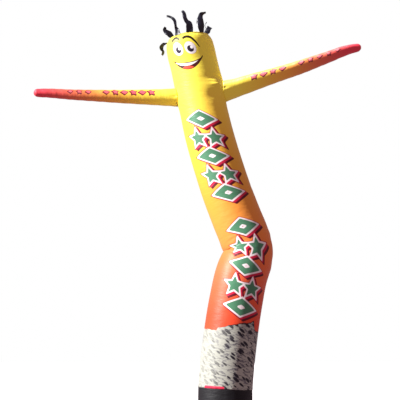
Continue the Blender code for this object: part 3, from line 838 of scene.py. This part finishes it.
def arm_surface(rows, at, turn):
    """Points of an arm at distances along it and angles round it, of the same shape."""
    length = run_length(rows[:, :3])
    straight = np.minimum(at, length[-1])
    line = smooth(length, rows, straight)
    step = 0.001
    ahead = smooth(length, rows[:, :3], np.minimum(straight + step, length[-1]))
    along = unit(ahead - smooth(length, rows[:, :3], np.maximum(straight - step, 0)))
    level = unit(np.cross((0.0, 0.0, 1.0), along))
    over = np.cross(along, level)
    past = np.clip((at - length[-1]) / ARM_TIP, 0, 1)
    radius = line[..., 3] / 2 * np.sqrt(1 - past ** 2)
    return (line[..., :3] + (past * ARM_TIP)[..., None] * along
            + radius[..., None] * (np.cos(turn)[..., None] * level + np.sin(turn)[..., None] * over))


def arm_start(rows, turn):
    """For each column, the distance along the arm where it leaves the body's cloth."""
    at = np.linspace(0.0, 0.42, 420)[:, None] + 0 * turn[None, :]
    outside = outside_body(arm_surface(rows, at, turn[None, :] + 0 * at)) - GAP
    last = len(at) - 1 - np.argmax(outside[::-1] < 0, axis=0)
    columns = np.arange(len(turn))
    a, b = outside[last, columns], outside[last + 1, columns]
    return at[last, 0] + (at[last + 1, 0] - at[last, 0]) * a / (a - b)


def arm_rows(name):
    """Rows of an arm's cloth with its wrinkles, its tip, and its print coordinates."""
    rows = ARM_LINES[name]
    length = run_length(rows[:, :3])[-1]
    turn = np.arange(ARM_COLUMNS + 1) * 2 * math.pi / ARM_COLUMNS
    start = arm_start(rows, turn)
    count = int((length - start.mean()) / ARM_STEP)
    share = np.linspace(0, 1, count)[:, None]
    at = start[None, :] * (1 - share) + length * share
    tip_turn = np.radians(np.linspace(0, 90, 12)[1:-1])[:, None]
    at = np.concatenate([at, length + ARM_TIP * np.sin(tip_turn) + 0 * turn[None, :]])
    across = turn[None, :] + 0 * at
    points = arm_surface(rows, at, across)
    gone = at - start[None, :]
    phase = 0.9 if name == "arm_left" else 2.3
    root = bump_of(gone, 0.055) * (np.sin(9 * across + phase) + 0.6 * np.sin(14 * across + 2 * phase))
    long_pulls = 0.0009 * np.sin(3 * across + 5.0 * gone + phase) * np.sin(7.0 * gone + phase)
    rings = 0.0008 * np.sin(across + phase) * np.sin(61 * gone + 3 * np.sin(5 * gone + phase))
    seam = -0.0010 * bump_of((across + math.pi / 2 + math.pi) % (2 * math.pi) - math.pi, 0.16)
    end = bump_of(at - length - ARM_TIP, 0.05) * np.sin(11 * across + phase)
    push = (0.0022 * root * np.minimum(gone / 0.012, 1.0) + long_pulls + rings + 0.0007 * end
            + seam * (1 + 0.7 * np.sin(gone * 2 * math.pi / 0.04)))
    push *= np.clip((length + ARM_TIP - at) / 0.012, 0, 1) * np.minimum(gone / 0.006, 1.0)
    points = points[:, :-1] + push[:, :-1, None] * outward(points[:, :-1])
    middle = math.radians(PRINT_AT) if name == "arm_left" else math.pi - math.radians(PRINT_AT)
    return points, at, gone, across, middle


arm_left_points = arm_rows("arm_left")[0]
print("left arm", arm_left_points.shape)

# %% [markdown]
# ## The arms' print
#
# The dye runs along an arm from yellow at the shoulder through orange to red at the tip. A chain of
# small pink lozenges and stars with dark edges runs along its upper front, in two groups.

# %% Arm cloth
ARM_LENGTH = 1.42       # metres: what the dye's gradient runs over
ARM_DYE = ((0.10, "FFEE50"), (0.25, "FBD444"), (0.35, "F7BE40"), (0.46, "F4A842"), (0.56, "EB8C42"),
           (0.66, "E77048"), (0.76, "E4584B"), (0.88, "E83E4C"), (1.00, "EA3049"))
ARM_MOTIFS = {
    "arm_left": (0.235, 0.084, (0, 1, 2, 3, 4, 5, 7, 8, 9)),
    "arm_right": (0.300, 0.094, (0, 1, 2, 3, 5, 6, 7, 8, 9)),
}


def arm_motifs(x, y, name):
    """Distance to the arm's small figures: lozenges and stars in turn along its printed line."""
    start, step, places = ARM_MOTIFS[name]
    nearest = np.full(x.shape, 1.0)
    for place in places:
        size = 1.0 - 0.045 * place
        off = y - start - place * step
        shape = (lozenge(off, x, 0.036 * size, 0.027 * size) if place % 2
                 else star(off, x, 0.034 * size, 0.5))
        nearest = np.minimum(nearest, shape)
    return nearest


def arm_nylon():
    """The arms' cloth: its own dye gradient with the small figures printed over it."""
    material, tree = new_material("printed arm nylon")
    axes = add(tree, "SeparateXYZ", add(tree, "UVMap", uv_map="print")).node.outputs
    share = add(tree, "Math", axes[1], ARM_LENGTH, operation="DIVIDE")
    tint = ramp(tree, share, ARM_DYE)
    tint = layer(tree, tint, "drop", "6A1020", 0.0060)
    tint = layer(tree, tint, "motif", "7C1626", 0.0055)
    tint = layer(tree, tint, "motif", "E2606C")
    nylon(tree, tint)
    return material


arm_cloth = arm_nylon()
arms = {}
for name in ARM_LINES:
    points, at, gone, across, middle = arm_rows(name)
    off = (across - middle + math.pi) % (2 * math.pi) - math.pi
    side = 1.0 if name == "arm_left" else -1.0
    mean_radius = np.linalg.norm(points - points.mean(axis=1, keepdims=True), axis=2).mean(axis=1)
    x = side * off * mean_radius[:, None]
    chart = np.stack([across * 0.06, gone], axis=-1)
    reach = run_length(ARM_LINES[name][:, :3])[-1] + ARM_TIP
    tip = arm_surface(ARM_LINES[name], np.full((1, 1), reach), across[:1, :1])[0, 0]
    arm = cloth_shell(name + "_cloth", points, chart, tip=tip)
    shapes = arm_motifs(x[:, :-1], gone[:, :-1], name)
    drops = arm_motifs(x[:, :-1] + 0.006, gone[:, :-1] - 0.006, name)
    keep(arm, "motif", shapes)
    keep(arm, "drop", drops)
    dress(arm, arm_cloth, "arm_cloth", name)
    arms[name] = (arm, points, gone)

# %% [markdown]
# ## The hair
#
# Nine ribbons of black cloth are sewn into the seam of the cap and flutter in the air that leaks out
# there. A ribbon is a flat strip carried along a line by its own width and twist. It also curls
# across its width, and its edges wave more than its middle.

# %% Hair
# For each ribbon: degrees round the cap's seam, then stops of side, back, up, width and twist
HAIR = {
    "hair_front_left": (-122.0, (
        (0.000, 0.000, 0.000, 0.060, 0), (-0.004, -0.006, 0.040, 0.048, 10),
        (-0.020, -0.010, 0.082, 0.024, 50), (-0.030, -0.012, 0.138, 0.026, 30),
        (-0.070, -0.006, 0.178, 0.024, 20), (-0.104, 0.004, 0.192, 0.018, 0))),
    "hair_front_middle": (-88.0, (
        (0.000, 0.000, 0.000, 0.070, 0), (0.000, -0.008, 0.046, 0.062, 6),
        (-0.006, -0.010, 0.084, 0.052, 12), (-0.040, -0.008, 0.130, 0.044, 16),
        (-0.048, 0.002, 0.176, 0.040, 8), (-0.066, 0.010, 0.225, 0.022, 0))),
    "hair_front_right": (-52.0, (
        (0.000, 0.000, 0.000, 0.046, 0), (-0.006, -0.010, 0.052, 0.058, -22),
        (-0.014, -0.014, 0.104, 0.072, -34), (-0.012, -0.010, 0.146, 0.048, -30),
        (-0.004, -0.002, 0.180, 0.036, -24), (0.040, 0.008, 0.202, 0.020, -10))),
    "hair_side_right": (-31.0, (
        (0.000, 0.000, 0.000, 0.016, 0), (-0.006, -0.006, 0.046, 0.017, 20),
        (-0.010, -0.008, 0.086, 0.016, 40), (0.000, -0.004, 0.112, 0.012, 20))),
    "hair_back_right": (33.0, (
        (0.000, 0.000, 0.000, 0.036, 0), (0.004, 0.004, 0.055, 0.046, 24),
        (0.022, 0.004, 0.100, 0.058, 46), (0.044, 0.000, 0.138, 0.052, 54))),
    "hair_behind_right": (74.0, (
        (0.000, 0.000, 0.000, 0.060, 0), (0.006, 0.040, 0.024, 0.054, 0),
        (0.014, 0.084, 0.000, 0.048, 12), (0.022, 0.100, -0.060, 0.044, 24),
        (0.036, 0.094, -0.130, 0.026, 10))),
    "hair_behind_left": (106.0, (
        (0.000, 0.000, 0.000, 0.060, 0), (-0.006, 0.036, 0.022, 0.054, 0),
        (-0.010, 0.078, -0.004, 0.050, -10), (-0.024, 0.096, -0.062, 0.044, -22),
        (-0.020, 0.100, -0.118, 0.028, -5))),
    "hair_back_left": (134.0, (
        (0.000, 0.000, 0.000, 0.050, 0), (-0.006, 0.002, 0.060, 0.052, -8),
        (-0.036, 0.000, 0.098, 0.060, -22), (-0.076, -0.004, 0.132, 0.056, -34),
        (-0.100, -0.010, 0.158, 0.036, -34), (-0.090, -0.014, 0.180, 0.026, -30))),
    "hair_side_left": (160.0, (
        (0.000, 0.000, 0.000, 0.046, 0), (-0.040, 0.010, 0.002, 0.052, 0),
        (-0.080, 0.012, -0.036, 0.060, 14), (-0.064, 0.010, -0.078, 0.034, 34),
        (-0.070, 0.010, -0.118, 0.028, 10))),
}
RIBBON = 0.0010         # metres: thickness of a ribbon
RIBBON_ROWS = 48
RIBBON_COLUMNS = 9
RIBBON_WAVE = 0.0042    # metres: how far the edges flutter
WAVES_PER_METRE = 95    # radians of flutter for each metre of ribbon


def ribbon_piece(name, turn, stops, phase):
    """A strip along its stops: across it a shallow curl, along its edges a growing wave."""
    a = math.radians(turn)
    outwards = cap_side * math.cos(a) + cap_back * math.sin(a)
    table = np.array(stops)
    path = cap_middle + outwards * (cap_across / 2 + 0.0012) + cap_up * 0.002 + table[:, :3]
    length = run_length(path)
    at = np.linspace(0, length[-1], RIBBON_ROWS)
    line = smooth(length, np.column_stack([path, table[:, 3], np.radians(table[:, 4])]), at)
    along = unit(np.gradient(line[:, :3], axis=0))
    flat = np.cross(cap_up, outwards)
    flat = unit(flat - along * (along @ flat)[:, None])
    face = np.cross(along, flat)
    twist = line[:, 4:5]
    way = flat * np.cos(twist) + face * np.sin(twist)
    face = np.cross(along, way)
    share = np.linspace(-1, 1, RIBBON_COLUMNS)[None, :, None]
    grown = (at / at[-1])[:, None, None]
    half = line[:, None, 3:4] / 2
    curl = half * 0.26 * (1 - share ** 2) * np.sin(3.0 * grown + phase)
    swell = RIBBON_WAVE * share * np.minimum(grown * 3, 1)
    wave = swell * np.sin(at[:, None, None] * WAVES_PER_METRE + phase + 1.4 * share)
    across_way = half * share * (1 - 0.10 * np.sin(grown * 9 + phase))
    middle = line[:, None, :3] + way[:, None] * across_way + face[:, None] * (curl + wave)
    normal = unit(np.cross(np.gradient(middle, axis=0), np.gradient(middle, axis=1)))
    front, rear = middle - normal * RIBBON / 2, middle + normal * RIBBON / 2
    loop = np.concatenate([front, rear[:, ::-1]], axis=1)
    width = loop.shape[1]
    i = np.arange(RIBBON_ROWS - 1)[:, None] * width
    j = np.arange(width)[None, :]
    k = (j + 1) % width
    faces = np.stack([i + j, i + k, i + width + k, i + width + j], axis=-1).reshape(-1, 4).tolist()
    ends = np.arange(RIBBON_COLUMNS - 1)
    last = (RIBBON_ROWS - 1) * width
    faces += np.stack([ends + 1, ends, width - 1 - ends, width - 2 - ends], axis=1).tolist()
    faces += (last + np.stack([ends, ends + 1, width - 2 - ends, width - 1 - ends], axis=1)).tolist()
    uv = np.stack(np.broadcast_arrays(np.linspace(0, 0.1, width)[None, :], at[:, None]), axis=-1)
    corners = np.array([uv[v // width, v % width] for f in faces for v in f])
    return mesh_piece(name, loop.reshape(-1, 3), faces, corners), length[-1], table[:, 3]


def ribbon_nylon():
    """Glossy black ribbon: a filament cloth with no coating, fine and slick. Its colour is near-black
    and navy mixed by noise, partly its dark dye and partly a painted blue sheen.
    """
    material, tree = new_material("glossy filament nylon")
    chart = add(tree, "UVMap", uv_map="print")
    # near-black and navy patches: the ribbon's dark dye with a painted blue sheen over it
    dark_tone_and_painted_sheen = add(tree, "TexNoise", chart, None, 26.0, 3.0, 0.5)
    tint = add(tree, "MixRGB", dark_tone_and_painted_sheen, colour("05060F"), colour("14172C"))
    nylon(tree, tint, roughness=0.34, ripple=0.0018, weave=0.00012, sheen=0.0, gloss=0.40)
    return material


ribbon_cloth = ribbon_nylon()
for index, (name, (turn, stops)) in enumerate(HAIR.items()):
    ribbon, length, widths = ribbon_piece(name + "_ribbon", turn, stops, 1.7 * index)
    dress(ribbon, ribbon_cloth, "ribbon_cloth", name)

# %% [markdown]

# %% [markdown]
# ## Floor and light
#
# Hard sun from the upper left brightens one side of the tube and leaves the other in warm shade, so
# the light is a nearly sharp sun and a dim sky. The body's shadow would fall on the raised arm, so
# that arm has a sun of its own, by light linking. The floor is pale and plain. It throws no light
# back up, because the picture's shade is deep.

# %% Floor and light
SUN_FROM = (-0.83, -0.31, 0.46)
ARM_SUN_FROM = (-0.34, -0.16, 0.92)
SUN_POWER = 10.0
SKY_POWER = 0.39
SUN_WIDTH = 2.0         # degrees: nearly as sharp as the real sun's half a degree
FLOOR_SIZE = 120.0      # metres

bpy.ops.mesh.primitive_plane_add(size=FLOOR_SIZE)
floor = bpy.context.object
floor.name = "floor"
floor.visible_diffuse = False
floor.visible_glossy = False
pale, tree = new_material("pale studio floor")
painted = tree.nodes.new("ShaderNodeBsdfPrincipled")
painted.inputs["Base Color"].default_value = colour("F2F2F2")
painted.inputs["Roughness"].default_value = 0.9
add(tree, "OutputMaterial", painted.outputs[0])
floor.data.materials.append(pale)


def sun(name, to_light):
    """A nearly sharp sun that shines from a direction."""
    data = bpy.data.lights.new(name, "SUN")
    data.energy = SUN_POWER
    data.angle = math.radians(SUN_WIDTH)
    lamp = bpy.data.objects.new(name, data)
    lamp.rotation_euler = (math.acos(to_light[2] / math.hypot(*to_light)), 0.0,
                           math.atan2(to_light[1], to_light[0]) + math.pi / 2)
    bpy.context.scene.collection.objects.link(lamp)
    return lamp


main_sun, arm_sun = sun("sun", SUN_FROM), sun("sun on the raised arm", ARM_SUN_FROM)
raised = arms["arm_right"][0]
for lamp, state in ((main_sun, "EXCLUDE"), (arm_sun, "INCLUDE")):
    lit = bpy.data.collections.new("lit by the " + lamp.name)
    lit.objects.link(raised)
    lit.collection_objects[0].light_linking.link_state = state
    lamp.light_linking.receiver_collection = lit
arm_sun.light_linking.blocker_collection = arm_sun.light_linking.receiver_collection

world = bpy.data.worlds.new("studio")
bpy.context.scene.world = world
world.use_nodes = True
sky = world.node_tree
sky.nodes.clear()
seen = add(sky, "LightPath").node.outputs["Is Camera Ray"]
dim = add(sky, "Background", colour("FFDCE6"), SKY_POWER)
white = add(sky, "Background", colour("FFFFFF"), 1.0)
add(sky, "OutputWorld", add(sky, "MixShader", seen, dim, white))
bpy.context.scene.view_settings.view_transform = "Standard"
print("sun", SUN_POWER, "sky", SKY_POWER)
